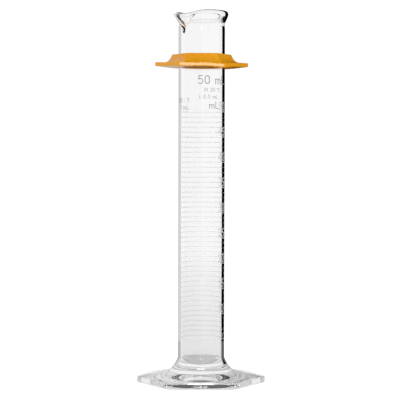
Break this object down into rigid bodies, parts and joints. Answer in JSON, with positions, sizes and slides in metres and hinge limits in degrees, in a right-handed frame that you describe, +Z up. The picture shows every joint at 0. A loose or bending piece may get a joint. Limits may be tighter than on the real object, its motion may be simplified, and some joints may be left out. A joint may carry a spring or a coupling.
{
  "type": "graduated cylinder",
  "caption": "Clear glass graduated cylinder with a pouring spout, a hexagonal foot, a sliding amber bumper guard and an enamel millilitre scale.",
  "frame": {"origin": "on the surface it stands on, under the middle of the foot and on the tube's axis", "axes": "+Z up the tube; a flat side of the hexagonal foot faces -Y; the spout points between -X and -Y"},
  "size_m": [0.0692, 0.0614, 0.2],
  "materials": {
    "tube_glass": "clear fire-polished borosilicate glass",
    "foot_glass": "clear pressed glass",
    "guard_plastic": "glossy translucent amber plastic",
    "print_enamel": null
  },
  "bodies": {
    "cylinder": {"glass_tube": "tube_glass", "hex_foot": "foot_glass", "long_lines": "print_enamel", "short_lines": "print_enamel", "numeral_05": "print_enamel", "numeral_10": "print_enamel", "numeral_15": "print_enamel", "numeral_20": "print_enamel", "numeral_25": "print_enamel", "numeral_30": "print_enamel", "numeral_35": "print_enamel", "numeral_40": "print_enamel", "numeral_45": "print_enamel", "numeral_50": "print_enamel", "capacity_mark": "print_enamel", "temperature_mark": "print_enamel", "tolerance_mark": "print_enamel", "unit_mark": "print_enamel", "ratio_mark": "print_enamel", "division_mark": "print_enamel"},
    "guard": {"bumper_guard": "guard_plastic"}
  },
  "joints": [
    {"name": "guard_slide", "type": "slide", "parent": "cylinder", "child": "guard", "axis": [0, 0, 1], "range_m": [-0.156, 0.011]}
  ]
}
